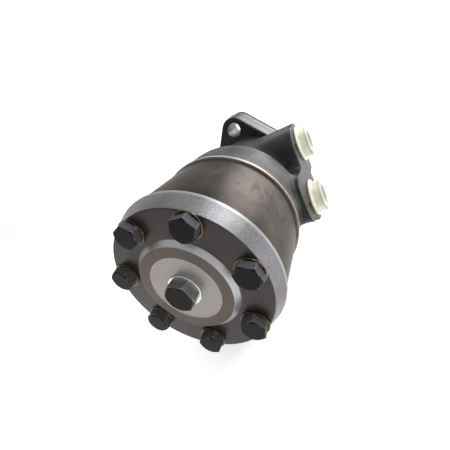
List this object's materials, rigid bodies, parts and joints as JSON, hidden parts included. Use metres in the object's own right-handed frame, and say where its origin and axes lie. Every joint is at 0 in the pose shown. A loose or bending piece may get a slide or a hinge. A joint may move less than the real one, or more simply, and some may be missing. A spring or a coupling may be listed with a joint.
{
  "type": "hydraulic motor",
  "caption": "Compact orbital hydraulic motor: bolted roller set and end cover, side ports with transit plugs, two-ear mounting flange and keyed output shaft.",
  "frame": {"origin": "on the motor's axis, at the mounting flange's front face", "axes": "+Y along the output shaft, out of the flange; +X out of the port face; +Z towards one flange ear"},
  "size_m": [0.116, 0.246, 0.1314],
  "materials": {
    "painted_casting": "satin black paint over a fine cast surface, bare on the machined port face",
    "ring_steel": "ground steel, soft brown-grey sheen",
    "cover_steel": "dark turned face with a lighter turned edge and a bright centre",
    "bright_steel": "bright ground steel",
    "black_oxide": "black oxide bolts with worn bright corners",
    "zinc_plug": "dull zinc",
    "copper": "soft copper sealing washers",
    "seal_rubber": "matt black rubber",
    "shaft_rubber": "brown fluoroelastomer",
    "plug_plastic": "translucent cream polyethylene",
    "cage_brass": "pressed brass"
  },
  "bodies": {
    "root": {"housing": "painted_casting", "mounting_flange": "painted_casting", "flange_screws": "black_oxide", "flange_o_ring": "seal_rubber", "shaft_seal": "shaft_rubber", "seal_washer": "bright_steel", "dust_seal": "seal_rubber", "spacer_plate": "bright_steel", "stator_ring": "ring_steel", "end_cover": "cover_steel", "cover_bolts": "black_oxide", "bolt_washers": "copper", "drain_plug": "zinc_plug", "drain_washer": "bright_steel", "housing_o_ring": "seal_rubber", "stator_o_ring": "seal_rubber", "cover_o_ring": "seal_rubber", "port_plug_a": "plug_plastic", "port_plug_b": "plug_plastic", "flange_race": "bright_steel"},
    "output_shaft": {"output_shaft": "bright_steel", "shaft_key": "bright_steel", "shaft_race": "bright_steel"},
    "thrust_cage": {"needle_cage": "cage_brass", "thrust_needles": "bright_steel"},
    "orbit_carrier": {"drive_spacer": "bright_steel"},
    "drive_link": {"drive_link": "ring_steel"},
    "rotor": {"rotor": "ring_steel"},
    "roller_1": {"roller_1": "bright_steel"},
    "roller_2": {"roller_2": "bright_steel"},
    "roller_3": {"roller_3": "bright_steel"},
    "roller_4": {"roller_4": "bright_steel"},
    "roller_5": {"roller_5": "bright_steel"},
    "roller_6": {"roller_6": "bright_steel"},
    "roller_7": {"roller_7": "bright_steel"}
  },
  "joints": [
    {"name": "shaft_spin", "type": "hinge", "parent": "root", "child": "output_shaft", "pos_m": [0, 0, 0], "axis": [0, 1, 0], "continuous": true},
    {"name": "cage_spin", "type": "hinge", "parent": "root", "child": "thrust_cage", "pos_m": [0, -0.03905, 0], "axis": [0, 1, 0], "continuous": true},
    {"name": "rotor_orbit", "type": "hinge", "parent": "root", "child": "orbit_carrier", "pos_m": [0, -0.14775, 0], "axis": [0, 1, 0], "continuous": true},
    {"name": "rotor_spin", "type": "hinge", "parent": "orbit_carrier", "child": "rotor", "pos_m": [-0.00146, -0.14775, -0.00215], "axis": [0, 1, 0], "continuous": true},
    {"name": "link_spin", "type": "hinge", "parent": "orbit_carrier", "child": "drive_link", "pos_m": [0, -0.08, 0], "axis": [0.0203, 0.9993, 0.0299], "continuous": true},
    {"name": "roller_1_spin", "type": "hinge", "parent": "root", "child": "roller_1", "pos_m": [-0.01856, -0.14775, -0.02729], "axis": [0, 1, 0], "continuous": true},
    {"name": "roller_2_spin", "type": "hinge", "parent": "root", "child": "roller_2", "pos_m": [-0.0329, -0.14775, -0.00251], "axis": [0, 1, 0], "continuous": true},
    {"name": "roller_3_spin", "type": "hinge", "parent": "root", "child": "roller_3", "pos_m": [-0.02248, -0.14775, 0.02416], "axis": [0, 1, 0], "continuous": true},
    {"name": "roller_4_spin", "type": "hinge", "parent": "root", "child": "roller_4", "pos_m": [0.00488, -0.14775, 0.03264], "axis": [0, 1, 0], "continuous": true},
    {"name": "roller_5_spin", "type": "hinge", "parent": "root", "child": "roller_5", "pos_m": [0.02856, -0.14775, 0.01654], "axis": [0, 1, 0], "continuous": true},
    {"name": "roller_6_spin", "type": "hinge", "parent": "root", "child": "roller_6", "pos_m": [0.03073, -0.14775, -0.01202], "axis": [0, 1, 0], "continuous": true},
    {"name": "roller_7_spin", "type": "hinge", "parent": "root", "child": "roller_7", "pos_m": [0.00977, -0.14775, -0.03152], "axis": [0, 1, 0], "continuous": true}
  ],
  "couplings": [
    {"joint": "cage_spin", "follows": "shaft_spin", "ratio": 0.5},
    {"joint": "rotor_orbit", "follows": "shaft_spin", "ratio": -6},
    {"joint": "rotor_spin", "follows": "shaft_spin", "ratio": 7},
    {"joint": "link_spin", "follows": "shaft_spin", "ratio": 7},
    {"joint": "roller_1_spin", "follows": "shaft_spin", "ratio": -3},
    {"joint": "roller_2_spin", "follows": "shaft_spin", "ratio": -3},
    {"joint": "roller_3_spin", "follows": "shaft_spin", "ratio": -3},
    {"joint": "roller_4_spin", "follows": "shaft_spin", "ratio": -3},
    {"joint": "roller_5_spin", "follows": "shaft_spin", "ratio": -3},
    {"joint": "roller_6_spin", "follows": "shaft_spin", "ratio": -3},
    {"joint": "roller_7_spin", "follows": "shaft_spin", "ratio": -3}
  ]
}
